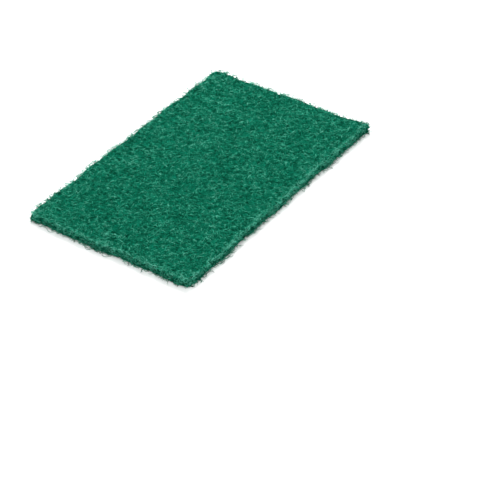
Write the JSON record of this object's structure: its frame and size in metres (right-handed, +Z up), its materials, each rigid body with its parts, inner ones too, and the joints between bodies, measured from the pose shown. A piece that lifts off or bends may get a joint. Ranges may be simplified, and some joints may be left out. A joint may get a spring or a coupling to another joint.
{
  "type": "nylon scouring pad",
  "caption": "Rectangular green scouring pad of bonded non-woven nylon web, with soft cut edges and unevenly rounded corners.",
  "frame": {"origin": "below the middle of the pad's outline, on the surface that it lies on", "axes": "+X along the length, +Y across the width, +Z up through the thickness"},
  "size_m": [0.2322, 0.1416, 0.008],
  "materials": {
    "nylon_web": "matte, coarse crimped fibres bonded with resin, deep emerald green with paler fibre ends"
  },
  "bodies": {
    "root": {"scouring_pad": "nylon_web"}
  },
  "joints": []
}
